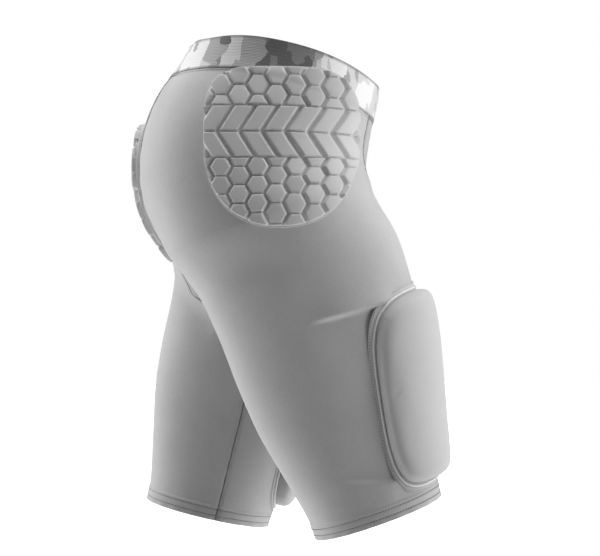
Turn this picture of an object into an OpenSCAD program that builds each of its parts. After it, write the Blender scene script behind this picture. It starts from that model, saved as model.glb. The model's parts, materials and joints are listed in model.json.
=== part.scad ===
// Padded impact shorts: stretch compression shorts with fixed impact pads
// at both hips, over the tailbone and on the front of both thighs.
// Millimetres. X points to the wearer's front, Y to the wearer's left, Z up.
// The origin is the middle of the waist opening, which the wearer's waist fills.
// The shorts stand as worn, with the right leg swung forward and the left leg back.

/* [Pose] */
// Rest swing of the right leg about the hip line, forward is positive (degrees)
right_leg_swing = 19.5; // [19:0.1:20]
// Rest swing of the left leg about the hip line, forward is positive (degrees)
left_leg_swing = -13; // [-13.5:0.1:-12.5]

/* [Fabric] */
// Thickness of the stretch fabric panels
fabric_thickness = 1.2; // [1:0.1:1.3]
// Height of the elastic waistband
waistband_height = 35; // [32:1:38]
// Thickness of the elastic waistband
waistband_thickness = 2; // [1.8:0.1:2.2]
// Height of the turned hem at the bottom of each leg
hem_height = 15; // [14:1:17]
// Diameter of the raised seam threads
seam_diameter = 1.6; // [1.2:0.1:1.8]

/* [Hip and tail pads] */
// Width of the hip pad, front to back
hip_pad_width = 146; // [142:1:150]
// Height of the hip pad
hip_pad_height = 154; // [150:1:156]
// Size of one hexagonal foam tile, across its flats
tile_size = 16.4; // [15.5:0.1:16.8]
// Height of the foam tiles above their backing
tile_height = 5; // [4:0.5:6]
// Width of the tail pad at its top
tail_pad_width = 104; // [98:1:108]
// Height of the tail pad
tail_pad_height = 140; // [134:1:142]

/* [Thigh pads] */
// Thickness of the covered thigh pad
thigh_pad_thickness = 20; // [18:0.5:21]
// Thickness of the stiff plate inside the thigh pad
thigh_plate_thickness = 2.5; // [2:0.5:3]
// Diameter of the piping round the thigh pad
piping_diameter = 3; // [2.4:0.2:3.4]

/* [Hidden] */

RIGHT = -1;
LEFT = 1;
// middle of the hip line, its half spacing, and the leg length below it
HIP = [-13, 0, -155];
HIP_Y = 89;
HEM_Y = 73;
LEG = 316;
TOP = -160;
BAND = TOP + waistband_height;
// cylinders round the hip line that end the seat and start the legs
SEAT_CUT = 133;
LEG_CUT = 136;
CROTCH = -246;
// pelvis outline, one entry every 30 mm down from z = 30
BACK = [-88, -103, -125, -138, -144, -144, -137, -120, -94, -66, -44];
FRONT = [98, 99, 97, 91, 86, 83, 80, 75, 64, 46, 20];
HALF = [141, 145, 153, 161, 166, 168, 166, 150, 112, 70, 44];
// leg outline about its own line, one entry every 50 mm down from the hip line
LEG_FRONT = [94, 111, 112, 106, 94, 81, 70, 67];
LEG_BACK = [-92, -88, -84, -83, -79, -70, -61, -61];
LEG_HALF = [78, 80, 78, 74, 69, 65, 62, 61];
// angle of the back and front panel seams, one entry every 30 mm down from the waist
BACK_SEAM = [-90, -91, -93, -96, -100, -105, -111, -118, -128, -138];
FRONT_SEAM = [88, 88, 88, 90, 93, 98, 104, 112, 122, 134];

FABRIC = [0.45, 0.46, 0.47];
DARK = [0.28, 0.29, 0.3];
FOAM = [0.55, 0.56, 0.57];

function swing(side) = side < 0 ? right_leg_swing : left_leg_swing;
function unit(v) = v / norm(v);
function smooth(x) = let (c = max(0, min(1, x))) c * c * (3 - 2 * c);
function mix(a, b, k) = a * (1 - k) + b * k;

// smooth curve through evenly spaced values
function curve(tab, x) =
    let (n = len(tab), f = max(0, min(n - 1.001, x)), i = floor(f), t = f - i)
    let (a = tab[max(0, i - 1)], b = tab[i])
    let (c = tab[min(n - 1, i + 1)], d = tab[min(n - 1, i + 2)])
    b + 0.5 * t * (c - a + t * (2 * a - 5 * b + 4 * c - d + t * (3 * (b - c) + d - a)));

// signed size of a point against an oval section: negative inside
function oval(t, y, front, back, half, n) =
    let (c = (front + back) / 2, a = (front - back) / 2)
    (pow(pow(abs((t - c) / a), n) + pow(abs(y / half), n), 1 / n) - 1) * min(a, half);
function blend_min(a, b, k) = let (h = max(k - abs(a - b), 0) / k) min(a, b) - h * h * k / 4;

function pelvis(p) =
    let (f = (30 - p.z) / 30)
    let (v = oval(p.x, p.y, curve(FRONT, f), curve(BACK, f), curve(HALF, f), 2.5))
    max(v, CROTCH - p.z);
function leg(p, side) =
    let (sw = swing(side), dx = p.x - HIP.x, dz = p.z - HIP.z)
    let (s = dx * sin(sw) - dz * cos(sw), t = dx * cos(sw) + dz * sin(sw), f = s / 50)
    let (yc = side * mix(HIP_Y, HEM_Y, max(-0.2, min(1.1, s / LEG))))
    oval(t, p.y - yc, curve(LEG_FRONT, f), curve(LEG_BACK, f), curve(LEG_HALF, f), 2.1)
    + max(-s, 0) * 0.5;
function body(p, side) = blend_min(pelvis(p), leg(p, side), 40);
function whole(p) =
    let (k = smooth((p.y + 26) / 52))
    k <= 0 ? body(p, RIGHT) : k >= 1 ? body(p, LEFT)
    : body(p, RIGHT) * (1 - k) + body(p, LEFT) * k;
function field(p, side) = side == 0 ? whole(p) : body(p, side);
function slope(p, side) =
    let (e = 0.4, v = field(p, side))
    [field(p + [e, 0, 0], side) - v, field(p + [0, e, 0], side) - v,
     field(p + [0, 0, e], side) - v] / e;

// walk from a point inside along a direction to the body's surface
function cast(o, d, side, lo, hi, n) =
    n == 0 ? o + d * (lo + hi) / 2
    : let (m = (lo + hi) / 2)
    field(o + d * m, side) > 0 ? cast(o, d, side, lo, m, n - 1)
    : cast(o, d, side, m, hi, n - 1);
// a surface point paired with its outward direction
function lay(p, side) = [p, unit(slope(p, side))];

// middle line of one side, from the waist (TOP) over the hip (0) down the leg (LEG)
function spine(side, st) =
    let (q = max(0, min(1, (st - TOP) / -TOP)), s = max(st, 0), sw = swing(side))
    [-8 + (HIP.x + 8) * q - 10 * (1 - abs(2 * q - 1)) + sin(sw) * s,
     side * (60 + (HIP_Y - 60) * q + (HEM_Y - HIP_Y) * s / LEG),
     HIP.z * q - cos(sw) * s];
// surface point of one side at a station and an angle from outward (0) to front (90)
function at(side, st, ph) =
    let (k = smooth((st + 120) / 150), tilt = -11.7 * (1 - k) + swing(side) * k)
    let (c = cos(ph), rise = c > 0 ? 0.17 * c * c * (1 - smooth((st + 120) / 80)) : 0)
    cast(spine(side, st), [sin(ph) * cos(tilt), side * c, sin(ph) * sin(tilt) + rise],
        side, 0, 260, 16);
function skin(side, st, ph) = lay(at(side, st, ph), side);

// angle of the inner leg seam: it starts at the crotch and settles a little forward
function inseam_angle(side, st) =
    166 + (side < 0 ? 40 : 8) * (1 - smooth((st - 100) / 110));
function closing(st) = smooth((st - 90) / 28);
function back_edge(side, st) =
    mix(curve(BACK_SEAM, (st - TOP) / 30), inseam_angle(side, st) - 360, closing(st));
function front_edge(side, st) =
    mix(curve(FRONT_SEAM, (st - TOP) / 30), inseam_angle(side, st), closing(st));
// station where the surface leaves the cylinder round the hip line
function cut_once(side, ph, r, s) =
    let (p = at(side, s, ph) - HIP, sw = swing(side), t = p.x * cos(sw) + p.z * sin(sw))
    sqrt(r * r - t * t);
function cut(side, ph, r) = cut_once(side, ph, r, cut_once(side, ph, r,
    cut_once(side, ph, r, 110)));
// angles round a leg, starting and ending at the inner leg seam
function round_angle(side, st, u) = inseam_angle(side, st) - 360 + 360 * u;
CUT_ST = 130;

function steps(n) = [for (i = [0:n]) i / n];

// a closed solid from points and triangles, turned the right way out
module solid(pts, faces) {
    vol = sum([for (f = faces) cross(pts[f[0]], pts[f[1]]) * pts[f[2]]]);
    out = vol > 0 ? [for (f = faces) [f[2], f[1], f[0]]] : faces;
    polyhedron(points = pts, faces = out, convexity = 10);
}
function sum(v) = [for (x = v) 1] * v;

// a sheet of cloth over a grid of surface points, from depth a to depth b
module sheet(g, a, b, ring = false) {
    nr = len(g);
    nc = len(g[0]);
    m = nr * nc;
    low = [for (r = g) for (c = r) c[0] + c[1] * a];
    high = [for (r = g) for (c = r) c[0] + c[1] * b];
    last = ring ? nc - 1 : nc - 2;
    faces = [
        for (j = [0:nr - 2]) for (i = [0:last])
            let (k = (i + 1) % nc, p = j * nc + i, q = j * nc + k, s = p + nc, t = q + nc)
            each [[m + p, m + q, m + t], [m + p, m + t, m + s], [p, t, q], [p, s, t]],
        for (i = [0:last])
            let (k = (i + 1) % nc, p = i, q = k, s = (nr - 1) * nc + i, t = (nr - 1) * nc + k)
            each [[p, q, m + q], [p, m + q, m + p], [s, m + t, t], [s, m + s, m + t]],
        if (!ring) for (j = [0:nr - 2])
            let (p = j * nc, s = p + nc, q = p + nc - 1, t = s + nc - 1)
            each [[p, m + s, s], [p, m + p, m + s], [q, t, m + t], [q, m + t, m + q]]
    ];
    solid(concat(low, high), faces);
}

// a round pad over rings of surface points, with a lower and an upper height per ring
module pad(g, low, high) {
    nr = len(g);
    nc = len(g[0]);
    m = nr * nc;
    pts = concat([for (j = [0:nr - 1]) for (c = g[j]) c[0] + c[1] * low[j]],
        [for (j = [0:nr - 1]) for (c = g[j]) c[0] + c[1] * high[j]],
        [g[0][0][0] + g[0][0][1] * low[0], g[0][0][0] + g[0][0][1] * high[0]]);
    faces = [
        for (j = [1:nr - 2]) for (i = [0:nc - 1])
            let (k = (i + 1) % nc, p = j * nc + i, q = j * nc + k, s = p + nc, t = q + nc)
            each [[m + p, m + q, m + t], [m + p, m + t, m + s], [p, t, q], [p, s, t]],
        for (i = [0:nc - 1])
            let (k = (i + 1) % nc, p = (nr - 1) * nc + i, q = (nr - 1) * nc + k)
            each [[p, m + q, q], [p, m + p, m + q],
                [2 * m, nc + i, nc + k], [2 * m + 1, m + nc + k, m + nc + i]]
    ];
    solid(pts, faces);
}

// a thread along a line of surface points, lifted off the surface
module thread(line, lift, d, ring = false) {
    n = len(line);
    sides = 6;
    pts = [for (i = [0:n - 1])
        let (a = line[ring ? (i + n - 1) % n : max(0, i - 1)][0])
        let (b = line[ring ? (i + 1) % n : min(n - 1, i + 1)][0])
        let (u = line[i][1], v = unit(cross(unit(b - a), u)), w = unit(cross(v, b - a)))
        for (k = [0:sides - 1])
            line[i][0] + u * lift + (v * cos(60 * k) + w * sin(60 * k)) * d / 2];
    faces = [
        for (i = [0:ring ? n - 1 : n - 2]) for (k = [0:sides - 1])
            let (j = (i + 1) % n, l = (k + 1) % sides)
            let (p = i * sides + k, q = i * sides + l, s = j * sides + k, t = j * sides + l)
            each [[p, q, t], [p, t, s]],
        if (!ring) for (k = [1:sides - 2])
            let (e = (n - 1) * sides)
            each [[0, k + 1, k], [e, e + k, e + k + 1]]
    ];
    solid(pts, faces);
}

// waist ring: one loop of surface points round the whole waist at one station
function waist_ring(st) = concat(
    [for (i = [0:19]) skin(RIGHT, st, mix(-90, 90, i / 19))],
    [for (y = [-40, -20, 0, 20, 40]) lay(cast([-8, y, HIP.z * (st - TOP) / -TOP],
        [cos(-11.7), 0, sin(-11.7)], 0, 0, 260, 16), 0)],
    [for (i = [0:19]) skin(LEFT, st, mix(90, -90, i / 19))],
    [for (y = [40, 20, 0, -20, -40]) lay(cast([-8, y, HIP.z * (st - TOP) / -TOP],
        -[cos(-11.7), 0, sin(-11.7)], 0, 0, 260, 16), 0)]);

module waistband() {
    color(DARK) sheet([for (k = steps(4)) waist_ring(mix(TOP, BAND - 0.3, k))],
        0.1, waistband_thickness, true);
}
module waistband_lining() {
    color(FABRIC) sheet([for (k = steps(3)) waist_ring(mix(TOP + 2, BAND - 2, k))],
        -1, -0.2, true);
}
// small blank woven label sewn inside the back of the waistband
module care_label() {
    color(FOAM) sheet([for (st = [TOP + 8, BAND - 6])
        [for (y = [-14, 0, 14]) lay(cast([-8, y, HIP.z * (st - TOP) / -TOP],
            -[cos(-11.7), 0, sin(-11.7)], 0, 0, 260, 16), 0)]], -2.7, -2);
}
module waist_stitching() {
    color(DARK) thread(waist_ring(BAND + 1.8), fabric_thickness + 1, 0.9, true);
}

// centre strip between the two side panels, from the waist down and through the crotch
function strip_edge(side, tau) =
    let (st = mix(118, BAND, abs(tau)))
    at(side, st, tau < 0 ? back_edge(side, st) : front_edge(side, st));
function settle(p, n) =
    n == 0 ? p
    : let (g = slope(p, 0)) settle(p - g * field(p, 0) / max(g * g, 0.2), n - 1);
function strip_point(tau, k) = lay(settle(mix(strip_edge(RIGHT, tau), strip_edge(LEFT, tau), k), 4), 0);
function strip(t0, t1, n, k0, k1, m) =
    [for (i = [0:n]) [for (j = [0:m]) strip_point(mix(t0, t1, i / n), mix(k0, k1, j / m))]];

module center_back_panel() {
    color(FABRIC) sheet(strip(-0.985, -0.252, 12, 0.01, 0.99, 6), 0, fabric_thickness);
}
module crotch_gusset() {
    color(FABRIC) sheet(strip(-0.248, 0.248, 24, 0.08, 0.92, 6), 0, fabric_thickness);
}
module front_pouch_panel() {
    color(FABRIC) sheet(strip(0.252, 0.985, 12, 0.01, 0.99, 6), 0, fabric_thickness);
}
// soft inner layer behind the front pouch panel
module front_lining() {
    color(FOAM) sheet(strip(0.32, 0.96, 10, 0.08, 0.92, 6), -2.4, -1.4);
}

// side panel of the seat: waistband to the cut at the top of the leg.
// The rows crowd together near the crotch, where the edges turn sharply.
function seat_grid(side, nu, nw) =
    let (ends = [for (u = steps(nu)) cut(side, round_angle(side, CUT_ST, u), SEAT_CUT)])
    [for (v = steps(nw))
        let (w = 1 - pow(1 - v, 1.45), e = mix(BAND, ends[0], w))
        let (inset = 0.6 + 3.4 * smooth((e - 62) / 25))
        let (b = back_edge(side, e) + inset, f = front_edge(side, e) - inset)
        [for (i = [0:nu])
            let (ph = mix(b, f, i / nu), st = mix(BAND, ends[i], w))
            skin(side, w < 0.6 ? st : min(st, cut(side, ph, SEAT_CUT) - 24 * (1 - w)), ph)]];
module seat_panel(side) {
    color(FABRIC) sheet(seat_grid(side, 28, 22), 0, fabric_thickness);
}
module right_seat_panel() {
    seat_panel(RIGHT);
}
module left_seat_panel() {
    seat_panel(LEFT);
}

// seam threads along the edges of the centre strip
SEAM_LIFT = fabric_thickness + seam_diameter / 2 + 0.9;
module back_seam(side) {
    color(DARK) thread([for (k = steps(24)) lay(strip_edge(side, mix(-0.96, -0.08, k)), 0)],
        SEAM_LIFT, seam_diameter);
}
module front_seam(side) {
    color(DARK) thread([for (k = steps(24)) lay(strip_edge(side, mix(0.08, 0.96, k)), 0)],
        SEAM_LIFT, seam_diameter);
}
module right_back_seam() {
    back_seam(RIGHT);
}
module left_back_seam() {
    back_seam(LEFT);
}
module right_front_seam() {
    front_seam(RIGHT);
}
module left_front_seam() {
    front_seam(LEFT);
}

// leg panel from the cut down to the hem
function leg_grid(side, nu, nw) =
    let (low = LEG - hem_height - 0.3)
    let (tops = [for (i = [0:nu - 1])
        cut(side, round_angle(side, CUT_ST, i / nu), LEG_CUT)])
    [for (w = steps(nw)) [for (i = [0:nu - 1])
        skin(side, mix(tops[i], low, w), round_angle(side, mix(CUT_ST, low, w), i / nu))]];
module leg_panel(side) {
    color(FABRIC) sheet(leg_grid(side, 32, 12), 0, fabric_thickness, true);
}
module right_leg_panel() {
    leg_panel(RIGHT);
}
module left_leg_panel() {
    leg_panel(LEFT);
}
function leg_ring(side, st, n) =
    [for (i = [0:n - 1]) skin(side, st, round_angle(side, st, i / n))];
// the hem is the fabric turned up once, so it is twice as thick
module leg_hem(side) {
    color(FABRIC) sheet([for (k = steps(2)) leg_ring(side, mix(LEG - hem_height, LEG, k), 36)],
        -fabric_thickness, fabric_thickness + 0.2, true);
}
module right_leg_hem() {
    leg_hem(RIGHT);
}
module left_leg_hem() {
    leg_hem(LEFT);
}
// twin rows of stitching that hold the hem
module hem_stitching(side) {
    color(DARK) {
        thread(leg_ring(side, LEG - 5, 36), fabric_thickness + 0.8, 0.8, true);
        thread(leg_ring(side, LEG - 11.5, 36), fabric_thickness + 0.8, 0.8, true);
    }
}
module right_hem_stitching() {
    hem_stitching(RIGHT);
}
module left_hem_stitching() {
    hem_stitching(LEFT);
}
module inseam(side) {
    color(DARK) thread([for (k = steps(14))
        let (st = mix(LEG_CUT + 2, LEG - hem_height - 2, k)) skin(side, st, inseam_angle(side, st))],
        SEAM_LIFT, seam_diameter);
}
module right_inseam() {
    inseam(RIGHT);
}
module left_inseam() {
    inseam(LEFT);
}

// rounded outlines as fractions of the half sizes, by angle
function bend(c, n) = (c < 0 ? -1 : 1) * pow(abs(c), 2 / n);
function hip_outline(a) = let (s = sin(a))
    [bend(cos(a), s > 0 ? 4 : 2.3), s > 0 ? 0.94 * bend(s, 4) : 1.06 * bend(s, 2.3)];
// the pad's top rides up over the waistband's lower edge, which dips to the front
function over_band(x, z) =
    let (edge = -18 - x * (x > 0 ? 0.34 : 0.15)) 1.5 * smooth((z - edge + 17) / 8);
function hip_at(side, x, z, reach = 0) =
    let (q = lay(cast([x, side * 30, z], [0, side, 0], side, 0, 170, 16), side))
    [q[0] + q[1] * over_band(x, z + reach), q[1]];
HIP_PAD_X = 0;
HIP_PAD_Z = -86;
function hip_rings(side, rho, n) =
    [for (r = rho) [for (i = [0:n - 1]) let (o = hip_outline(i * 360 / n))
        hip_at(side, HIP_PAD_X + r * o.x * hip_pad_width / 2,
            HIP_PAD_Z + r * o.y * hip_pad_height / 2)]];
BACKING = 1.2;
BACK_LIFT = fabric_thickness + 1.2;
module hip_pad_backing(side) {
    color(FABRIC) pad(hip_rings(side, [0, 0.2, 0.4, 0.6, 0.8, 0.97, 1], 36),
        [for (i = [0:6]) BACK_LIFT],
        [for (i = [0:6]) BACK_LIFT + (i < 6 ? BACKING : BACKING * 0.4)]);
}
module right_hip_pad_backing() {
    hip_pad_backing(RIGHT);
}
module left_hip_pad_backing() {
    hip_pad_backing(LEFT);
}

// turn a flat tile so that it lies on the surface
module stand_on(q, side, lift) {
    z = q[1];
    x = unit(cross([0, 0, 1], z));
    y = cross(z, x);
    p = q[0] + z * lift;
    multmatrix([[x.x, y.x, z.x, p.x], [x.y, y.y, z.y, p.y], [x.z, y.z, z.z, p.z]])
        children();
}
// tiles stand in columns; every second column sits half a row lower
TILE_COLUMN = 17;
TILE_ROW = tile_size + 0.8;
TILE_LIFT = BACK_LIFT + BACKING + 0.5;
// upper and lower edge of the band across the middle of the hip pad
HIP_BAND = [-53, -102.5];
// how far out a flat position lies on the hip pad: 1 is the outline
function hip_reach(x, z) =
    let (a = abs(2 * x / hip_pad_width), b = 2 * z / hip_pad_height)
    b > 0 ? pow(pow(a, 4) + pow(b / 0.94, 4), 0.25)
    : pow(pow(a, 2.3) + pow(-b / 1.06, 2.3), 1 / 2.3);
module hex_tile(s) {
    linear_extrude(tile_height) circle(d = s / cos(30), $fn = 6);
}
function tile_drop(i) = i % 2 == 0 ? 0 : TILE_ROW / 2;
// hexagons above and below the band across the middle of the hip pad
module hip_pad_tiles(side) {
    color(FOAM) for (i = [-5:3]) {
        x = 13 + i * TILE_COLUMN;
        below = [for (j = [0:3]) HIP_BAND[1] - TILE_ROW / 2 - tile_drop(i) - j * TILE_ROW];
        above = [for (j = [0:2]) HIP_BAND[0] + TILE_ROW * 1.15 - tile_drop(i) + j * TILE_ROW * 1.15];
        for (z = concat(below, above))
            if (hip_reach(x - HIP_PAD_X, z - HIP_PAD_Z) < 0.9)
                stand_on(hip_at(side, x, z, 11), side, TILE_LIFT) hex_tile(tile_size * 0.97);
    }
}
module right_hip_pad_tiles() {
    hip_pad_tiles(RIGHT);
}
module left_hip_pad_tiles() {
    hip_pad_tiles(LEFT);
}
// two rows of slanted tiles that form the herringbone band across the hip pad
module hip_pad_band(side) {
    middle = (HIP_BAND[0] + HIP_BAND[1]) / 2;
    color(FOAM) for (up = [-1, 1]) for (i = [-3:3]) {
        x = i * 19;
        z = middle + up * 11.5;
        lean = up * side * 4.5;
        if (hip_reach(x, z - HIP_PAD_Z) < 0.84)
            stand_on(hip_at(side, HIP_PAD_X + x, z, 11), side, TILE_LIFT + 0.6)
                linear_extrude(tile_height)
                    polygon([[-8 - lean, -9.5], [8 - lean, -9.5],
                        [8 + lean, 9.5], [-8 + lean, 9.5]]);
    }
}
module right_hip_pad_band() {
    hip_pad_band(RIGHT);
}
module left_hip_pad_band() {
    hip_pad_band(LEFT);
}

// tail pad: wide across the top and tapering down over the tailbone
TAIL_Z = -127;
function tail_width(z) = tail_pad_width / 2 * (1 - 0.47 * smooth((TAIL_Z + 30 - z) / 100));
function tail_at(y, z) = lay(cast([-20, y, z], [-1, 0, 0], 0, 0, 160, 16), 0);
function tail_rings(rho, n) =
    [for (r = rho) [for (i = [0:n - 1])
        let (a = i * 360 / n, z = TAIL_Z + r * bend(sin(a), 3.2) * tail_pad_height / 2)
        tail_at(r * bend(cos(a), 3.2) * tail_width(z), z)]];
module tail_pad_backing() {
    color(FABRIC) pad(tail_rings([0, 0.25, 0.5, 0.75, 0.96, 1], 30),
        [for (i = [0:5]) BACK_LIFT],
        [for (i = [0:5]) BACK_LIFT + (i < 5 ? BACKING : BACKING * 0.4)]);
}
module tail_pad_tiles() {
    color(FOAM) for (i = [-2:2]) for (row = [-3:4]) {
        y = i * TILE_COLUMN;
        z = TAIL_Z + row * TILE_ROW - tile_drop(i);
        if (abs(y) < tail_width(z) - 8 && abs(z - TAIL_Z) < tail_pad_height / 2 - 8)
            stand_on(tail_at(y, z), 0, TILE_LIFT) hex_tile(tile_size * 0.97);
    }
}

// thigh pad: centred a little outward of the front of the leg, leaning outward lower down
THIGH_PH = 79;
THIGH_ST = 204;
THIGH_LEAN = 8;
function thigh_rings(side, rho, n) =
    [for (r = rho) [for (i = [0:n - 1])
        let (a = i * 360 / n, x = r * bend(cos(a), 4.4), y = r * bend(sin(a), 4.4))
        skin(side, THIGH_ST + 93 * y, THIGH_PH + 47 * x - THIGH_LEAN * y)]];
TB = fabric_thickness + 1.1;
TT = thigh_pad_thickness;
module thigh_pad_cover(side) {
    g = thigh_rings(side, [0, 0.4, 0.7, 0.86, 0.93, 0.955], 36);
    color(FABRIC) pad(g, [TT - 1.2, TT - 1.25, TT - 1.6, TT - 3, TT - 8, TB + 0.5],
        [TT, TT - 0.05, TT - 0.3, TT - 1.4, TT - 6, TB + 1.3]);
}
module right_thigh_pad_cover() {
    thigh_pad_cover(RIGHT);
}
module left_thigh_pad_cover() {
    thigh_pad_cover(LEFT);
}
PLATE_TOP = TT - 4.2;
// the plate and the foam share these rings, so that they lie flat together
CORE = [0, 0.16, 0.32, 0.48, 0.6, 0.7];
module thigh_pad_plate(side) {
    color(DARK) pad(thigh_rings(side, CORE, 32),
        [for (r = CORE) PLATE_TOP - thigh_plate_thickness], [for (r = CORE) PLATE_TOP]);
}
module right_thigh_pad_plate() {
    thigh_pad_plate(RIGHT);
}
module left_thigh_pad_plate() {
    thigh_pad_plate(LEFT);
}
module thigh_pad_foam(side) {
    rings = concat(CORE, [0.84]);
    color(FOAM) pad(thigh_rings(side, rings, 32), [for (r = rings) TB + (r < 0.8 ? 0.9 : 2.2)],
        [for (r = rings) PLATE_TOP - thigh_plate_thickness - (r < 0.8 ? 0.4 : 3)]);
}
module right_thigh_pad_foam() {
    thigh_pad_foam(RIGHT);
}
module left_thigh_pad_foam() {
    thigh_pad_foam(LEFT);
}
module thigh_pad_piping(side) {
    color(DARK) thread(thigh_rings(side, [0.985], 56)[0], TB + 0.8 + piping_diameter / 2,
        piping_diameter, true);
}
module right_thigh_pad_piping() {
    thigh_pad_piping(RIGHT);
}
module left_thigh_pad_piping() {
    thigh_pad_piping(LEFT);
}

waistband();
waistband_lining();
care_label();
center_back_panel();
crotch_gusset();
front_pouch_panel();
front_lining();
waist_stitching();
right_seat_panel();
left_seat_panel();
right_back_seam();
left_back_seam();
right_front_seam();
left_front_seam();
right_hip_pad_backing();
left_hip_pad_backing();
right_hip_pad_tiles();
left_hip_pad_tiles();
right_hip_pad_band();
left_hip_pad_band();
tail_pad_backing();
tail_pad_tiles();
right_leg_panel();
left_leg_panel();
right_leg_hem();
left_leg_hem();
right_hem_stitching();
left_hem_stitching();
right_inseam();
left_inseam();
right_thigh_pad_cover();
left_thigh_pad_cover();
right_thigh_pad_plate();
left_thigh_pad_plate();
right_thigh_pad_foam();
left_thigh_pad_foam();
right_thigh_pad_piping();
left_thigh_pad_piping();
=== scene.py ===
import json
import math

import bpy
import numpy as np
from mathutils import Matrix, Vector


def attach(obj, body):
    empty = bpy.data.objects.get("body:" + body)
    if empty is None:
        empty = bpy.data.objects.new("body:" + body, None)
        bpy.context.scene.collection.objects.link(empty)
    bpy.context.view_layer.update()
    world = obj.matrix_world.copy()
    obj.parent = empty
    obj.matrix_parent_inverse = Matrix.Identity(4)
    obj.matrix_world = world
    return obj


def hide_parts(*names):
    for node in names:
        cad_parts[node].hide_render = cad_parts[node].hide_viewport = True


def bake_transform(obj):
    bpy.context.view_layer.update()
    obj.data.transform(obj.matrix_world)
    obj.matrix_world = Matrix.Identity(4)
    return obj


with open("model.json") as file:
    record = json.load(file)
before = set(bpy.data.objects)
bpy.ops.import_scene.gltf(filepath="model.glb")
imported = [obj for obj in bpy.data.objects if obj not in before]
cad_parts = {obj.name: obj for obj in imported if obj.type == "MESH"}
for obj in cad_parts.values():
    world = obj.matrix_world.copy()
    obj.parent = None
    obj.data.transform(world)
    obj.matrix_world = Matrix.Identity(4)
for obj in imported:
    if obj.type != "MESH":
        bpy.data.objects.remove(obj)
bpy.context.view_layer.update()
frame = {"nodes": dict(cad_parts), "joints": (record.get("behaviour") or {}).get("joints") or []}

# Padded impact shorts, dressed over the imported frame.  The shape is worked out
# in millimetres, on the same body surface as the CAD, and turned into metres
# when a mesh is made.  X is to the wearer's front, Y to the left, Z up.
MM = 0.001
RIGHT, LEFT = -1, 1
NAME = {RIGHT: "right", LEFT: "left"}

# ---------------------------------------------------------------- body surface
# the same tables and formulas as part.scad, in millimetres
hinge = {j["name"]: np.array(j["pos_m"]) / MM for j in frame["joints"]}
HIP = hinge["right_hip_swing"] * [1, 0, 1]
HIP_Y = abs(hinge["right_hip_swing"][1])
HEM_Y, LEG, CROTCH = 73.0, 316.0, -246.0
TOP, BAND = -160.0, -125.0
SWING = {RIGHT: 19.5, LEFT: -13.0}
WAIST_TILT = -11.7
# pelvis outline every 30 mm down from z = 30, leg outline every 50 mm down the leg
BACK = [-88, -103, -125, -138, -144, -144, -137, -120, -94, -66, -44]
FRONT = [98, 99, 97, 91, 86, 83, 80, 75, 64, 46, 20]
HALF = [141, 145, 153, 161, 166, 168, 166, 150, 112, 70, 44]
LEG_FRONT = [94, 111, 112, 106, 94, 81, 70, 67]
LEG_BACK = [-92, -88, -84, -83, -79, -70, -61, -61]
LEG_HALF = [78, 80, 78, 74, 69, 65, 62, 61]
BACK_SEAM = [-90, -91, -93, -96, -100, -105, -111, -118, -128, -138]
FRONT_SEAM = [88, 88, 88, 90, 93, 98, 104, 112, 122, 134]
SOFTEN = 40.0     # reach of the soft join between pelvis and leg
TURN_IN = 90.0    # station where the side panel's edges start to swing inward
CLOSED = 118.0    # station from which they meet at the inner leg


def smooth(x):
    x = np.clip(x, 0, 1)
    return x * x * (3 - 2 * x)


def mix(a, b, k):
    return a * (1 - k) + b * k


def unit(v):
    return v / np.maximum(np.linalg.norm(v, axis=-1, keepdims=True), 1e-9)


def curve(table, f):
    """Smooth curve through evenly spaced values."""
    table = np.asarray(table, float)
    last = len(table) - 1
    f = np.clip(f, 0, last - 1e-4)
    i = np.floor(f).astype(int)
    t = f - i
    a, b = table[np.maximum(i - 1, 0)], table[i]
    c, d = table[np.minimum(i + 1, last)], table[np.minimum(i + 2, last)]
    return b + 0.5 * t * (c - a + t * (2 * a - 5 * b + 4 * c - d + t * (3 * (b - c) + d - a)))


def oval(t, y, front, back, half, n):
    middle, reach = (front + back) / 2, (front - back) / 2
    r = (np.abs((t - middle) / reach) ** n + np.abs(y / half) ** n) ** (1 / n)
    return (r - 1) * np.minimum(reach, half)


def pelvis(p):
    f = (30 - p[..., 2]) / 30
    v = oval(p[..., 0], p[..., 1], curve(FRONT, f), curve(BACK, f), curve(HALF, f), 2.5)
    return np.maximum(v, CROTCH - p[..., 2])


def leg_place(p, side):
    """How far down the leg a point is, and how far forward of the leg's line."""
    a = math.radians(SWING[side])
    dx, dz = p[..., 0] - HIP[0], p[..., 2] - HIP[2]
    return dx * math.sin(a) - dz * math.cos(a), dx * math.cos(a) + dz * math.sin(a)


def leg(p, side):
    s, t = leg_place(p, side)
    middle = side * mix(HIP_Y, HEM_Y, np.clip(s / LEG, -0.2, 1.1))
    f = s / 50
    front, back, half = (curve(table, f) for table in (LEG_FRONT, LEG_BACK, LEG_HALF))
    return oval(t, p[..., 1] - middle, front, back, half, 2.1) + np.maximum(-s, 0) * 0.5


def body(p, side):
    """Below 0 inside one side of the body, above 0 outside it."""
    a, b = pelvis(p), leg(p, side)
    h = np.maximum(SOFTEN - np.abs(a - b), 0) / SOFTEN
    return np.minimum(a, b) - h * h * SOFTEN / 4


def field(side):
    if side:
        return lambda p: body(p, side)
    return lambda p: mix(body(p, RIGHT), body(p, LEFT), smooth((p[..., 1] + 26) / 52))


def slope(p, side):
    f = field(side)
    return np.stack([f(p + v) - f(p - v) for v in np.eye(3) / 2], -1)


def normal(p, side):
    return unit(slope(p, side))


def cast(o, d, side, far=260.0):
    """From points inside, along directions, to the body's surface."""
    f = field(side)
    o, d = np.broadcast_arrays(np.asarray(o, float), np.asarray(d, float))
    low = np.zeros(d.shape[:-1])
    high = low + far
    for _ in range(20):
        m = (low + high) / 2
        out = f(o + d * m[..., None]) > 0
        low, high = np.where(out, low, m), np.where(out, m, high)
    return o + d * ((low + high) / 2)[..., None]


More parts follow.
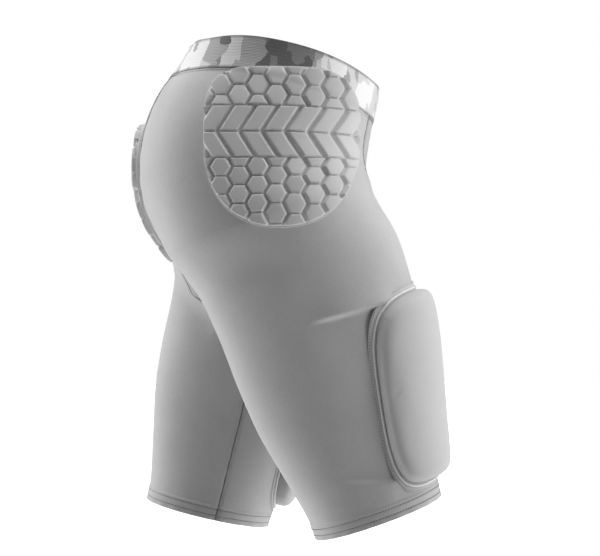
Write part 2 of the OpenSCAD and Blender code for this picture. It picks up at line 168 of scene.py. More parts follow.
def spine(side, st):
    st = np.asarray(st, float)
    q, s = np.clip((st - TOP) / -TOP, 0, 1), np.maximum(st, 0)
    a = math.radians(SWING[side])
    x = -8 + (HIP[0] + 8) * q - 10 * (1 - np.abs(2 * q - 1)) + math.sin(a) * s
    y = side * (mix(60, HIP_Y, q) + (HEM_Y - HIP_Y) * s / LEG)
    return np.stack([x, y, HIP[2] * q - math.cos(a) * s], -1)


def at(side, st, ph):
    """Surface point of a side at a station down the body and an angle from outward to front."""
    st, ph = np.broadcast_arrays(np.asarray(st, float), np.asarray(ph, float))
    tilt = np.radians(mix(WAIST_TILT, SWING[side], smooth((st + 120) / 150)))
    c, s = np.cos(np.radians(ph)), np.sin(np.radians(ph))
    rise = 0.17 * np.maximum(c, 0) ** 2 * (1 - smooth((st + 120) / 80))
    d = np.stack([s * np.cos(tilt), side * c, s * np.sin(tilt) + rise], -1)
    return cast(spine(side, st), d, side)


def inseam(side, st):
    """Angle of the inner leg seam: it moves forward from the crotch down the leg."""
    return 166 + (40 if side == RIGHT else 8) * (1 - smooth((st - 100) / 110))


def closing(st):
    """0 on the pelvis, 1 where the side panel's edges have met at the inner leg."""
    return smooth((st - TURN_IN) / (CLOSED - TURN_IN))


def back_edge(side, st):
    return mix(curve(BACK_SEAM, (st - TOP) / 30), inseam(side, st) - 360, closing(st))


def front_edge(side, st):
    return mix(curve(FRONT_SEAM, (st - TOP) / 30), inseam(side, st), closing(st))


# ---------------------------------------------------------------- mesh helpers
def lattice(idx):
    """Four-sided faces between neighbours of a grid of numbers."""
    return np.stack([idx[:-1, :-1], idx[:-1, 1:], idx[1:, 1:], idx[1:, :-1]], -1).reshape(-1, 4)


def make(name, verts, faces, uv=None):
    """A smooth mesh object from millimetre points; uv has one entry per face corner."""
    mesh = bpy.data.meshes.new(name)
    if isinstance(faces, np.ndarray):
        faces = faces.tolist()
    mesh.from_pydata((np.asarray(verts) * MM).tolist(), [], faces)
    if uv is not None:
        layer = mesh.uv_layers.new(name="UVMap")
        layer.data.foreach_set("uv", np.asarray(uv, np.float32).ravel())
    mesh.polygons.foreach_set("use_smooth", np.ones(len(mesh.polygons), bool))
    mesh.update()
    obj = bpy.data.objects.new(name, mesh)
    bpy.context.scene.collection.objects.link(obj)
    return obj


def shell(name, p, n, low, high, idx=None, ring=False, uv=None):
    """A closed cloth or pad: a grid of surface points given two faces and a rim."""
    rows, cols = p.shape[:2]
    if idx is None:
        idx = np.arange(rows * cols).reshape(rows, cols)
    if ring:
        idx = np.concatenate([idx, idx[:, :1]], 1)
    quads = lattice(idx)
    p, n = p.reshape(-1, 3), n.reshape(-1, 3)
    low = np.broadcast_to(low, (rows, cols)).reshape(-1, 1)
    high = np.broadcast_to(high, (rows, cols)).reshape(-1, 1)
    a, b, c, _ = (p[quads[:, k]] for k in range(4))
    turned = (np.cross(b - a, c - a) * n[quads[:, 0]]).sum() < 0
    corner = lattice(np.arange(idx.size).reshape(idx.shape))
    if turned:
        quads, corner = quads[:, ::-1], corner[:, ::-1]
    count = len(p)
    edges = np.concatenate([quads[:, [k, (k + 1) % 4]] for k in range(4)])
    marks = np.concatenate([corner[:, [k, (k + 1) % 4]] for k in range(4)])
    key = edges[:, 0] * count + edges[:, 1]
    single = ~np.isin(key, edges[:, 1] * count + edges[:, 0])
    e, m = edges[single], marks[single]
    rim = np.stack([e[:, 1], e[:, 0], e[:, 0] + count, e[:, 1] + count], 1)
    faces = np.concatenate([quads, quads[:, ::-1] + count, rim])
    verts = np.concatenate([p + n * high, p + n * low])
    used, faces = np.unique(faces, return_inverse=True)
    corners = None
    if uv is not None:
        flat = uv.reshape(-1, 2)
        rims = np.stack([m[:, 1], m[:, 0], m[:, 0], m[:, 1]], 1)
        corners = flat[np.concatenate([corner, corner[:, ::-1], rims])]
    return make(name, verts[used], faces.reshape(-1, 4), corners)


def tube(name, p, n, radius, lift, ring=False, flat=1.0, sides=8):
    """A cord along surface points, lifted off the surface; flat below 1 presses it."""
    if ring:
        t = unit(np.roll(p, -1, 0) - np.roll(p, 1, 0))
    else:
        t = unit(np.gradient(p, axis=0))
    across = unit(np.cross(t, n))
    a = np.arange(sides) * 2 * math.pi / sides
    radius = np.broadcast_to(radius, len(p))[:, None, None]
    lift = np.broadcast_to(lift, len(p))[:, None, None]
    rim = across[:, None] * np.cos(a)[None, :, None] + n[:, None] * np.sin(a)[None, :, None] * flat
    q = p[:, None] + n[:, None] * lift + rim * radius
    idx = np.arange(len(p) * sides).reshape(len(p), sides)
    idx = np.concatenate([idx, idx[:, :1]], 1)
    if ring:
        idx = np.concatenate([idx, idx[:1]], 0)
    faces = lattice(idx)
    if np.cross(q[1, 0] - q[0, 0], q[0, 1] - q[0, 0]) @ (q[0, 0] - q[0].mean(0)) >= 0:
        faces = faces[:, ::-1]
    faces = faces.tolist()
    if not ring:
        last = (len(p) - 1) * sides
        ends = [list(range(sides)), list(range(last + sides - 1, last - 1, -1))]
        inward = np.cross(q[0, 1] - q[0, 0], q[0, 2] - q[0, 0]) @ t[0] >= 0
        faces += [e[::-1] for e in ends] if inward else ends
    return make(name, q.reshape(-1, 3), faces)


def stitches(name, lines, pitch=3.2, length=2.3, radius=0.36, lift=1.4, slant=0.0):
    """Rows of separate stitches: each is a small capsule whose ends dip into the cloth."""
    verts, faces, sides = [], [], 6
    along = np.array([-1, -0.75, -0.3, 0.3, 0.75, 1])
    size = np.array([0.25, 0.75, 1, 1, 0.75, 0.25])
    a = np.arange(sides) * 2 * math.pi / sides
    base = 0
    for p, n in lines:
        d = np.concatenate([[0], np.cumsum(np.linalg.norm(np.diff(p, axis=0), axis=1))])
        s = np.arange(pitch / 2, d[-1], pitch)
        c = np.stack([np.interp(s, d, p[:, k]) for k in range(3)], -1)
        m = unit(np.stack([np.interp(s, d, n[:, k]) for k in range(3)], -1))
        ahead, behind = ([np.interp(s + step, d, p[:, k]) for k in range(3)]
                         for step in (0.4, -0.4))
        e = np.stack(ahead, -1) - np.stack(behind, -1)
        t = unit(e - m * (e * m).sum(-1, keepdims=True))
        side = np.cross(m, t)
        t = unit(t + side * slant)
        side = np.cross(m, t)
        axis = c[:, None] + t[:, None] * along[None, :, None] * length / 2
        axis = axis + m[:, None] * (lift - 0.7 * radius * along**2)[None, :, None]
        rim = side[:, None] * np.cos(a)[None, :, None] + m[:, None] * np.sin(a)[None, :, None]
        q = axis[:, :, None] + rim[:, None] * (radius * size)[None, :, None, None]
        count, rings = len(c), len(along)
        idx = np.arange(count * rings * sides).reshape(count, rings, sides) + base
        idx2 = np.concatenate([idx, idx[:, :, :1]], 2)
        f = np.stack([idx2[:, :-1, :-1], idx2[:, :-1, 1:], idx2[:, 1:, 1:], idx2[:, 1:, :-1]], -1)
        faces += f.reshape(-1, 4)[:, ::-1].tolist()
        faces += idx[:, 0].tolist() + idx[:, -1, ::-1].tolist()
        verts.append(q.reshape(-1, 3))
        base += count * rings * sides
    return make(name, np.concatenate(verts), faces)


# ---------------------------------------------------------------- materials
class Nodes:
    """Short names for building one material's nodes."""

    def __init__(self, name):
        self.material = bpy.data.materials.new(name)
        self.material.use_nodes = True
        self.tree = self.material.node_tree
        self.shader = self.tree.nodes["Principled BSDF"]
        self.place = self.tree.nodes.new("ShaderNodeTexCoord")

    def add(self, kind, settings=None, **inputs):
        node = self.tree.nodes.new("ShaderNode" + kind)
        for k, v in (settings or {}).items():
            setattr(node, k, v)
        for k, v in inputs.items():
            numbered = k[0] == "i" and k[1:].isdigit()
            socket = node.inputs[int(k[1:]) if numbered else k.replace("_", " ")]
            if isinstance(v, bpy.types.NodeSocket):
                self.tree.links.new(v, socket)
            else:
                socket.default_value = v
        return node

    def math(self, op, a, b=0.0):
        return self.add("Math", {"operation": op}, i0=a, i1=b).outputs[0]

    def noise(self, scale, detail=3.0, rough=0.5, vector=None):
        return self.add("TexNoise", None, Vector=vector or self.place.outputs["Object"],
                        Scale=scale, Detail=detail, Roughness=rough).outputs["Fac"]

    def ramp(self, value, stops, constant=False):
        node = self.add("ValToRGB", None, Fac=value)
        node.color_ramp.interpolation = "CONSTANT" if constant else "LINEAR"
        e = node.color_ramp.elements
        while len(e) < len(stops):
            e.new(0.5)
        for item, (pos, c) in zip(e, stops):
            item.position = pos
            item.color = (*c, 1) if hasattr(c, "__len__") else (c, c, c, 1)
        return node.outputs["Color"]

    def grid_wave(self, period, vector, axes=("X", "Y")):
        """Bands across one axis of a vector, or a woven grid across two, in metres per repeat."""
        waves = []
        for axis in axes:
            wave = self.add("TexWave", {"wave_type": "BANDS", "bands_direction": axis},
                            Vector=vector, Scale=math.pi / 10 / period, Distortion=0.0)
            waves.append(wave.outputs["Fac"])
        return waves[0] if len(waves) == 1 else self.math("MULTIPLY", waves[0], waves[1])

    def finish(self, colour, height=None, bump=0.3, distance=0.0003, rough=0.75, sheen=0.4,
               sheen_rough=0.4, specular=0.35):
        s = self.shader
        s.inputs["Sheen Weight"].default_value = sheen
        s.inputs["Sheen Roughness"].default_value = sheen_rough
        s.inputs["Specular IOR Level"].default_value = specular
        self.tree.links.new(colour, s.inputs["Base Color"])
        if isinstance(rough, bpy.types.NodeSocket):
            self.tree.links.new(rough, s.inputs["Roughness"])
        else:
            s.inputs["Roughness"].default_value = rough
        if height is not None:
            node = self.add("Bump", None, Strength=bump, Distance=distance, Height=height)
            self.tree.links.new(node.outputs["Normal"], s.inputs["Normal"])
        return self.material


def knit(name, tone, spread=0.09, period=0.0011, bump=0.35, sheen=0.4, rough=0.72):
    """Fine stretch knit: soft mottling, a speckle of yarns and a ribbed stitch relief."""
    m = Nodes(name)
    uv = m.place.outputs["UV"]
    weave = m.grid_wave(period, uv)
    speck = m.noise(900.0, 3.0, 0.7)
    cloudy = m.noise(16.0, 4.0, 0.55)
    mottle = m.math("ADD", m.math("MULTIPLY", cloudy, 0.4), m.math("MULTIPLY", speck, 0.6))
    shades = [tuple(tone * k * c for c in (1, 1, 1.01)) for k in (1 - 2 * spread, 1 + 2 * spread)]
    colour = m.ramp(mottle, [(0.25, shades[0]), (0.75, shades[1])])
    height = m.math("ADD", m.math("MULTIPLY", weave, 0.7), m.math("MULTIPLY", speck, 0.6))
    roughness = m.add("MapRange", None, Value=cloudy, i1=0.3, i2=0.7,
                      i3=rough - 0.06, i4=rough + 0.06)
    return m.finish(colour, height, bump, 0.0003, roughness.outputs[0], sheen)


def camo_with_painted_shade(name):
    """Jacquard elastic with a generic angular camouflage and bound edges, with painted shade over
    the hips and in the rib grooves, and painted rim light at the front and back.
    """
    m = Nodes(name)
    uv = m.place.outputs["UV"]
    wobble = m.add("TexNoise", None, Vector=uv, Scale=90.0, Detail=3.0)
    warp = m.add("VectorMath", {"operation": "MULTIPLY_ADD"}, i0=wobble.outputs["Color"],
                 i1=(0.007, 0.007, 0), i2=uv)
    cells = m.add("TexVoronoi", {"feature": "F1", "distance": "MANHATTAN"},
                  Vector=warp.outputs[0], Scale=46.0, Randomness=1.0)
    broad = m.add("TexNoise", None, Vector=uv, Scale=14.0, Detail=1.0).outputs["Fac"]
    pick = m.add("SeparateColor", None, Color=cells.outputs["Color"]).outputs[0]
    # painted shade and painted rim light: the pattern is darkened over the hips and lightened
    # towards the front and back
    along = m.add("SeparateXYZ", None, Vector=m.place.outputs["Object"]).outputs[0]
    off = m.math("ABSOLUTE", m.math("ADD", along, 0.004))
    fade = m.add("MapRange", None, Value=off, i1=0.02, i2=0.08, i3=-0.2, i4=0.26).outputs[0]
    value = m.math("ADD", m.math("MULTIPLY", pick, 0.55), m.math("MULTIPLY", broad, 0.5))
    value = m.math("ADD", value, fade)
    tones = [(0.0, 0.13), (0.33, 0.24), (0.46, 0.42), (0.62, 0.7), (0.74, 0.92)]
    # the camo pattern with the painted shade and painted rim light in it
    patches_with_painted_shade = m.ramp(value, tones, True)
    rib = m.grid_wave(0.0016, uv, ("Y",))
    cross = m.grid_wave(0.0011, uv, ("X",))
    weave = m.math("ADD", m.math("MULTIPLY", rib, 0.7), m.math("MULTIPLY", cross, 0.3))
    # painted shade: the colour is darkened in the rib grooves, along the same ribs as the bump
    painted_rib_shade = m.ramp(weave, [(0.0, 0.88), (1.0, 1.0)])
    # the camo print with painted shade over the hips and in the rib grooves
    print_with_painted_shade = m.add("Mix", {"data_type": "RGBA", "blend_type": "MULTIPLY"},
                  i0=0.8, i6=patches_with_painted_shade, i7=painted_rib_shade)
    down = m.add("SeparateXYZ", None, Vector=uv).outputs[1]
    edge = m.ramp(down, [(0.0, 1.0), (0.0016, 1.0), (0.0024, 0.0), (0.0328, 0.0), (0.0338, 1.0)])
    bound = m.add("Mix", {"data_type": "RGBA"},
                  i0=edge, i6=print_with_painted_shade.outputs[2], i7=(0.09, 0.09, 0.092, 1))
    return m.finish(bound.outputs[2], weave, 0.5, 0.0004, 0.6, 0.3)


def tile_cloth(name):
    """Smooth laminated stretch cloth over moulded foam."""
    m = Nodes(name)
    fine = m.noise(1900.0, 2.0, 0.6)
    cloudy = m.noise(30.0, 3.0, 0.5)
    value = m.math("ADD", m.math("MULTIPLY", cloudy, 0.75), m.math("MULTIPLY", fine, 0.25))
    colour = m.ramp(value, [(0.3, 0.54), (0.7, 0.62)])
    return m.finish(colour, fine, 0.25, 0.0002, 0.55, 0.35)


def plain(name, tone, rough=0.6, sheen=0.0, scale=900.0, spread=0.1, bump=0.2, specular=0.5):
    m = Nodes(name)
    grain = m.noise(scale, 3.0, 0.55)
    tone = tone if hasattr(tone, "__len__") else (tone,) * 3
    dark, pale = (tuple(min(1, c * k) for c in tone) for k in (1 - spread, 1 + spread))
    colour = m.ramp(grain, [(0.3, dark), (0.7, pale)])
    return m.finish(colour, grain, bump, 0.0002, rough, sheen, specular=specular)


STRETCH = knit("stretch_knit", 0.5)
CENTRE = knit("centre_knit", 0.46, period=0.0013)
COVER = knit("pad_cover_knit", 0.53, spread=0.04, period=0.0009, bump=0.18, sheen=0.35)
LINING = knit("lining_mesh", 0.6, period=0.0018, bump=0.5, sheen=0.2)
CAMO_WITH_PAINTED_SHADE = camo_with_painted_shade("waist_camouflage_painted_shade")
BRUSHED = plain("brushed_elastic", 0.2, 0.85, 0.4, 1400.0, 0.2, 0.4)
TILES = tile_cloth("pad_tile_cloth")
THREAD = plain("seam_thread", 0.16, 0.6, 0.2, 2600.0, 0.2, 0.4)
LIGHT_THREAD = plain("stitch_thread", 0.36, 0.55, 0.2, 2600.0, 0.15, 0.4)
PIPING = plain("satin_piping", 0.78, 0.35, 0.3, 2200.0, 0.08, 0.2)
LABEL = plain("satin_label", (0.75, 0.75, 0.73), 0.4, 0.2, 1500.0, 0.04, 0.2)
PLATE = plain("moulded_plate", 0.03, 0.5, 0.0, 700.0, 0.15, 0.3)


def dress(obj, material):
    obj.data.materials.clear()
    obj.data.materials.append(material)
    return obj


def spread(p):
    """Width, length and area of a grid of surface points, laid flat, in metres."""
    wide = np.linalg.norm(np.diff(p, axis=1), axis=2).sum(1).max()
    long = np.linalg.norm(np.diff(p, axis=0), axis=2).sum(0).max()
    a, b = p[1:, 1:] - p[:-1, :-1], p[1:, :-1] - p[:-1, 1:]
    area = np.linalg.norm(np.cross(a, b), axis=2).sum() / 2
    return float(wide * MM), float(long * MM), float(area * MM * MM)


# ---------------------------------------------------------------- thigh pad place
# middle angle and station, half width in degrees, half height, roundness, outward lean
THIGH_PH, THIGH_ST, THIGH_WIDE, THIGH_TALL = 79.0, 204.0, 47.0, 93.0
THIGH_ROUND, THIGH_LEAN = 4.4, 8.0


def thigh_at(side, x, y):
    """Surface point of the thigh pad's place: x and y run from -1 to 1."""
    return at(side, THIGH_ST + THIGH_TALL * y, THIGH_PH + THIGH_WIDE * x - THIGH_LEAN * y)


def squircle(n, m, power):
    """A square grid squeezed into a rounded square: unit x, unit y, and reach from 0 to 1."""
    u, v = np.meshgrid(np.linspace(-1, 1, n), np.linspace(-1, 1, m))
    reach = np.maximum(np.abs(u), np.abs(v))
    a = np.arctan2(v, u)
    r = (np.abs(np.cos(a)) ** power + np.abs(np.sin(a)) ** power) ** (-1 / power)
    return reach * r * np.cos(a), reach * r * np.sin(a), reach


def outline(a, power):
    r = (np.abs(np.cos(a)) ** power + np.abs(np.sin(a)) ** power) ** (-1 / power)
    return r * np.cos(a), r * np.sin(a)


def thigh_loop(side, reach, count=240, close=False):
    a = np.linspace(0, 2 * math.pi, count, endpoint=close)
    x, y = outline(a, THIGH_ROUND)
    p = thigh_at(side, reach * x, reach * y)
    return p, normal(p, side)


# a fold direction for each leg, and a loop that clears each thigh pad's stitching; neither is used
# below
FOLD_WAY = {RIGHT: np.array([0.6, 0, -0.8]), LEFT: np.array([0.2, 0, -0.98])}
for side in (RIGHT, LEFT):
    way = FOLD_WAY[side]
    ring = thigh_loop(side, 1.07)[0]


def bend(obj):
    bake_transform(obj)


# ---------------------------------------------------------------- side fabric
FABRIC = 1.2                       # thickness of the stretch cloth
HEM = 15.0                         # height of the turned hem
HEM_ROWS = (LEG - 5, LEG - 11.5)   # its two rows of stitching


def pull(s, t, a, b, height, above, below):
    """A tension crease between two places on the leg: a bulge above it, a hollow below."""
    a, b = np.array(a, float), np.array(b, float)
    way = (b - a) / np.linalg.norm(b - a)
    along = ((s - a[0]) * way[0] + (t - a[1]) * way[1]) / np.linalg.norm(b - a)
    off = (t - a[1]) * way[0] - (s - a[0]) * way[1]
    off = off * np.sign(way[1])
    taper = smooth((along + 0.5) / 0.8) * smooth((1.35 - along) / 0.35)
    step = np.tanh(off / 1.7)
    fade = np.where(off > 0, np.exp(-((off / above) ** 2)), np.exp(-((off / below) ** 2)))
    return height * taper * step * fade


def relief(side, st, ph, p, edge):
    """How far the outer face of the cloth stands off the body."""
    s, t = leg_place(p, side)
    outer = smooth((np.cos(np.radians(ph)) + 0.15) / 0.5)
    h = FABRIC + 0.35 * np.sin(s / 31 + t / 23 + side) * np.sin(p[..., 1] / 27 + s / 53)
    h = h + outer * pull(s, t, (113, 22), (118, 74), 3.6, 20, 30)
    h = h - outer * pull(s, t, (266, -14), (279, 26), 1.9, 26, 18)
    # the seam allowance draws the cloth in along the panel's edges
    h = h - 0.75 * np.exp(-((edge / 2.2) ** 2))
    h = h + 0.22 * np.exp(-edge / 7) * np.sin(st / 2.6)
    # double cloth at the hem, drawn in by its two rows of stitching
    turn = smooth((st - (LEG - HEM - 0.4)) / 1.4)
    h = h + turn * 0.75
    for row in HEM_ROWS:
        h = h - 0.35 * np.exp(-(((st - row) / 0.9) ** 2))
    h = h + turn * 0.3 * np.sin(np.radians(ph) * 23) * smooth((st - (LEG - 8)) / 8)
    return h


def side_fabric(side):
    st = np.concatenate([np.arange(BAND - 1, LEG - 18, 1.8), np.linspace(LEG - 18, LEG, 31)])
    cols = 241
    u = np.linspace(0, 1, cols)
    stg = np.repeat(st[:, None], cols, 1)
    ph = mix(back_edge(side, stg), front_edge(side, stg), u[None, :])
    p = at(side, stg, ph)
    n = normal(p, side)
    idx = np.arange(stg.size).reshape(stg.shape)
    closed = st > CLOSED
    idx[closed, -1] = idx[closed, 0]
    across = np.concatenate([np.zeros((len(st), 1)),
                             np.cumsum(np.linalg.norm(np.diff(p, axis=1), axis=2), 1)], 1)
    edge = np.minimum(across, across[:, -1:] - across)
    high = relief(side, stg, ph, p, edge)
    low = np.minimum(np.where(stg > LEG - HEM, -1.1, 0.0), high - 1.0)
    uv = np.stack([across - across.mean(1, keepdims=True), stg], -1) * MM
    obj = shell(f"{NAME[side]}_side_fabric", p, n, low, high, idx, uv=uv)
    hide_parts(*(f"{NAME[side]}_{k}" for k in ("seat_panel", "leg_panel", "leg_hem")))
    dress(obj, STRETCH)
    bend(obj)


# ---------------------------------------------------------------- centre strip
def strip_edge(side, tau):
    st = mix(CLOSED, BAND, np.abs(tau))
    return at(side, st, np.where(tau < 0, back_edge(side, st), front_edge(side, st)))


def strip(tau, k):
    """Centre strip: tau from the back waist (-1) to the front waist (1), k from right to left."""
    p = mix(strip_edge(RIGHT, tau), strip_edge(LEFT, tau), k[..., None])
    for _ in range(5):
        g = slope(p, 0)
        p = p - g * (field(0)(p) / np.maximum((g**2).sum(-1), 0.2))[..., None]
    return p


def centre_half(side, name, start, stop, node):
    tau = np.linspace(start, stop, int(150 * abs(stop - start)) + 2)
    k = np.linspace(0, 0.5, 36) if side == RIGHT else np.linspace(0.5, 1, 36)
    tau, k = np.meshgrid(tau, k, indexing="ij")
    p = strip(tau, k)
    n = normal(p, 0)
    edge = np.abs(k - (0 if side == RIGHT else 1)) * 120
    high = FABRIC - 0.75 * np.exp(-((edge / 2.2) ** 2))
    uv = np.stack([k * 0.13, tau * 0.26], -1)
    obj = shell(f"{NAME[side]}_{name}", p, n, 0.0, high, uv=uv)
    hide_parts(node)
    dress(obj, CENTRE)
    bend(obj)


# ---------------------------------------------------------------- waist
def waist_line(st, sides=170, middle=56):
    """Rings round the waist at each station: right side, front, left side, back."""
    st = np.atleast_1d(np.asarray(st, float))[:, None]
    ph = np.linspace(-90, 90, sides)[None, :]
    right, left = at(RIGHT, st, ph), at(LEFT, st, ph[:, ::-1])
    tilt = math.radians(WAIST_TILT)
    d = np.array([math.cos(tilt), 0, math.sin(tilt)])
    k = (np.arange(1, middle) / middle)[None, :, None]
    a, b = spine(RIGHT, st), spine(LEFT, st)
    front = cast(mix(a, b, k), d, 0)
    back = cast(mix(b, a, k), -d, 0)
    p = np.concatenate([right, front, left, back], 1)
    parts = [(right, RIGHT), (front, 0), (left, LEFT), (back, 0)]
    n = np.concatenate([normal(q, side) for q, side in parts], 1)
    return p, n


def waistband():
    """Elastic band: a flat loop with soft rolled edges, drawn on the body's surface."""
    count, ribs = 26, 9
    face = np.linspace(BAND - 1.2, TOP + 1.4, count)
    # lower edge, outer face, upper edge, inner face with half as many rows, and back
    st = np.concatenate([[BAND - 0.3, BAND - 0.3, BAND - 0.6], face,
                         [TOP + 0.6, TOP, TOP, TOP + 0.6], face[::-2], [BAND - 0.6]])
    outer = 2.0 + 0.12 * np.sin(np.linspace(0, ribs * 2 * math.pi, count))
    high = np.concatenate([[0.3, 1.3, 1.85], outer, [1.8, 1.3, 0.4, 0.0],
                           np.full(count // 2, -0.1), [0.0]])
    p, n = waist_line(st)
    q = p + n * high[:, None, None]
    rows, cols = q.shape[:2]
    idx = np.arange(rows * cols).reshape(rows, cols)
    idx = np.concatenate([idx, idx[:, :1]], 1)
    idx = np.concatenate([idx, idx[:1]], 0)
    faces, corner = lattice(idx), lattice(np.arange(idx.size).reshape(idx.shape))
    length = np.concatenate([[0], np.cumsum(np.linalg.norm(np.roll(p[0], -1, 0) - p[0], axis=1))])
    down = np.concatenate([st, st[:1]]) - TOP
    uv = np.stack(np.broadcast_arrays(length[None, :], down[:, None]), -1) * MM
    a, b, c, _ = (q.reshape(-1, 3)[faces[:, k]] for k in range(4))
    face_n = np.cross(b - a, c - a)
    outer_row = 10
    sample = slice(outer_row * cols, (outer_row + 1) * cols)
    if (face_n[sample] * n.reshape(-1, 3)[faces[sample, 0]]).sum() < 0:
        faces, corner = faces[:, ::-1], corner[:, ::-1]
    obj = make("waistband", q.reshape(-1, 3), faces, uv.reshape(-1, 2)[corner])
    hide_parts("waistband")
    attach(dress(obj, CAMO_WITH_PAINTED_SHADE), "seat")
    belt = waist_line(np.linspace(BAND, TOP, 8))[0]


# ---------------------------------------------------------------- tiled pads
TILE, COLUMN = 16.4, 17.0
ROW = TILE + 0.8
HIP_PAD = (0.0, -86.0, 146.0, 154.0)
HIP_BAND = (-53.0, -102.5)
TILE_TOP, GROOVE, BACKING = 8.0, 4.3, 2.5
SINE_60 = 0.866


def hip_reach(x, z):
    a = np.abs(2 * (x - HIP_PAD[0]) / HIP_PAD[2])
    b = 2 * (z - HIP_PAD[1]) / HIP_PAD[3]
    up = (a**4 + (np.maximum(b, 0) / 0.94) ** 4) ** 0.25
    down = (a**2.3 + (np.maximum(-b, 0) / 1.06) ** 2.3) ** (1 / 2.3)
    return np.where(b > 0, up, down)


def hexes(x, z, centres, row, rng):
    """Height of a field of flat-topped hexagons, each a little different."""
    reach = np.full(x.shape, 9.9)
    top, dx, dz = np.zeros(x.shape), np.zeros(x.shape), np.zeros(x.shape)
    half = COLUMN / 2 * SINE_60 + row / 4 * 0.5
    for cx, cz in centres:
        level, lean_x, lean_z = rng.uniform(-0.7, 0.7), *rng.uniform(-0.075, 0.075, 2)
        ex, ez = x - cx, z - cz
        r = np.maximum(np.abs(ez) / (row / 2), (np.abs(ex) * SINE_60 + np.abs(ez) * 0.5) / half)
        near = r < reach
        reach = np.where(near, r, reach)
        dx, dz = np.where(near, ex, dx), np.where(near, ez, dz)
        top = np.where(near, TILE_TOP + level + ex * lean_x + ez * lean_z, top)
    flat = smooth((row / 2 - np.abs(dz) - 0.1) / 1.1)
    slant = smooth((half - np.abs(dx) * SINE_60 - np.abs(dz) * 0.5 - 0.2) / 2.4)
    crown = 0.3 * (dx * dx + dz * dz) / 81
    return np.minimum(mix(5.4, top, flat), mix(GROOVE, top, slant)) - crown


def slanted(x, z, rng):
    """The band across the hip pad: two rows of tiles that lean opposite ways."""
    width, lean, kinds = 20.5, 0.62, 40
    middle = sum(HIP_BAND) / 2
    high = (HIP_BAND[0] - HIP_BAND[1]) / 4
    up = np.where(z > middle, 1.0, -1.0)
    dz = z - (middle + up * high)
    q = (x - dz * up * lean) / width
    number = np.round(q)
    dx = (q - number) * width
    levels = rng.uniform(-0.35, 0.35, kinds)
    top = TILE_TOP + 0.2 + levels[(number * 2 + up + 20).astype(int) % kinds] - 0.014 * dx
    side = smooth(((width / 2 - np.abs(dx)) * 0.85 - 0.3) / 2.8)
    ends = smooth((high - np.abs(dz) - 0.1) / 1.3)
    return np.minimum(mix(GROOVE, top, side), mix(5.0, top, ends))


def hip_height(x, z, rng):
    """Hexagons below the band, taller ones above it, and the slanted rows between."""
    number, stretch = np.arange(-6, 4), 1.15
    columns = list(zip(13 + number * COLUMN, np.where(number % 2 == 0, 0, ROW / 2)))
    tall = ROW * stretch
    below = [(cx, HIP_BAND[1] - ROW / 2 - d - j * ROW) for cx, d in columns for j in range(-1, 5)]
    above = [(cx, HIP_BAND[0] + tall - d * stretch + j * tall)
             for cx, d in columns for j in range(-1, 3)]
    low, high = hexes(x, z, below, ROW, rng), hexes(x, z, above, tall, rng)
    band = slanted(x, z, rng)
    h = np.where(z < HIP_BAND[1], low, np.where(z > HIP_BAND[0], high, band))
    for line in HIP_BAND:
        h = np.minimum(h, mix(5.2, 12.0, smooth((np.abs(z - line) - 0.2) / 1.6)))
    return h


def rimmed(h, gap):
    """Lower a tiled field to a thin stitched rim near the pad's outline."""
    h = mix(BACKING, h, smooth((gap - 1.7) / 1.1))
    h = h + 0.8 * np.exp(-(((gap - 0.9) / 0.6) ** 2)) * (gap < 1.7)
    return mix(1.35, h, smooth((gap + 0.05) / 0.7))


def hip_pad(side):
    size = 215
    u, v = np.meshgrid(np.linspace(-1, 1, size), np.linspace(-1, 1, size))
    reach = np.maximum(np.abs(u), np.abs(v))
    a = np.arctan2(v, u)
    c, s = np.cos(a), np.sin(a)
    ray = 1 / np.maximum(hip_reach(HIP_PAD[0] + c, HIP_PAD[1] + s), 1e-9)
    x, z = HIP_PAD[0] + reach * ray * c, HIP_PAD[1] + reach * ray * s
    edge = -18 - x * np.where(x > 0, 0.34, 0.15)
    o = np.stack([x, np.full_like(x, side * 30.0), z], -1)
    p = cast(o, np.array([0, side, 0.0]), side, 170)
    n = normal(p, side)
    rng = np.random.default_rng(5)
    h = rimmed(hip_height(x, z, rng), (1 - reach) * ray)
    over = 1.0 * smooth((z - edge + 11) / 8)
    obj = shell(f"{NAME[side]}_hip_pad", p, n, 1.25 + over, h + over)
    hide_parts(*(f"{NAME[side]}_hip_pad_{k}" for k in ("backing", "tiles", "band")))
    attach(dress(obj, TILES), "seat")


TAIL_Z, TAIL_W, TAIL_H, TAIL_ROUND = -127.0, 104.0, 140.0, 3.2


def tail_half(z):
    return TAIL_W / 2 * (1 - 0.47 * smooth((TAIL_Z + 30 - z) / 100))


def tail_pad():
    x, y, reach = squircle(151, 181, TAIL_ROUND)
    z = TAIL_Z + y * TAIL_H / 2
    across = x * tail_half(z)
    o = np.stack([np.full_like(z, -20.0), across, z], -1)
    p = cast(o, np.array([-1.0, 0, 0]), 0, 160)
    n = normal(p, 0)
    rng = np.random.default_rng(9)
    centres = [(i * COLUMN, TAIL_Z + j * ROW - (ROW / 2 if i % 2 else 0))
               for i in range(-4, 5) for j in range(-5, 6)]
    ray = np.hypot(across, z - TAIL_Z) / np.maximum(reach, 1e-6)
    h = rimmed(hexes(across, z, centres, ROW, rng), (1 - reach) * ray)
    obj = shell("tail_pad", p, n, 1.25, h)
    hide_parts("tail_pad_backing", "tail_pad_tiles")
    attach(dress(obj, TILES), "seat")


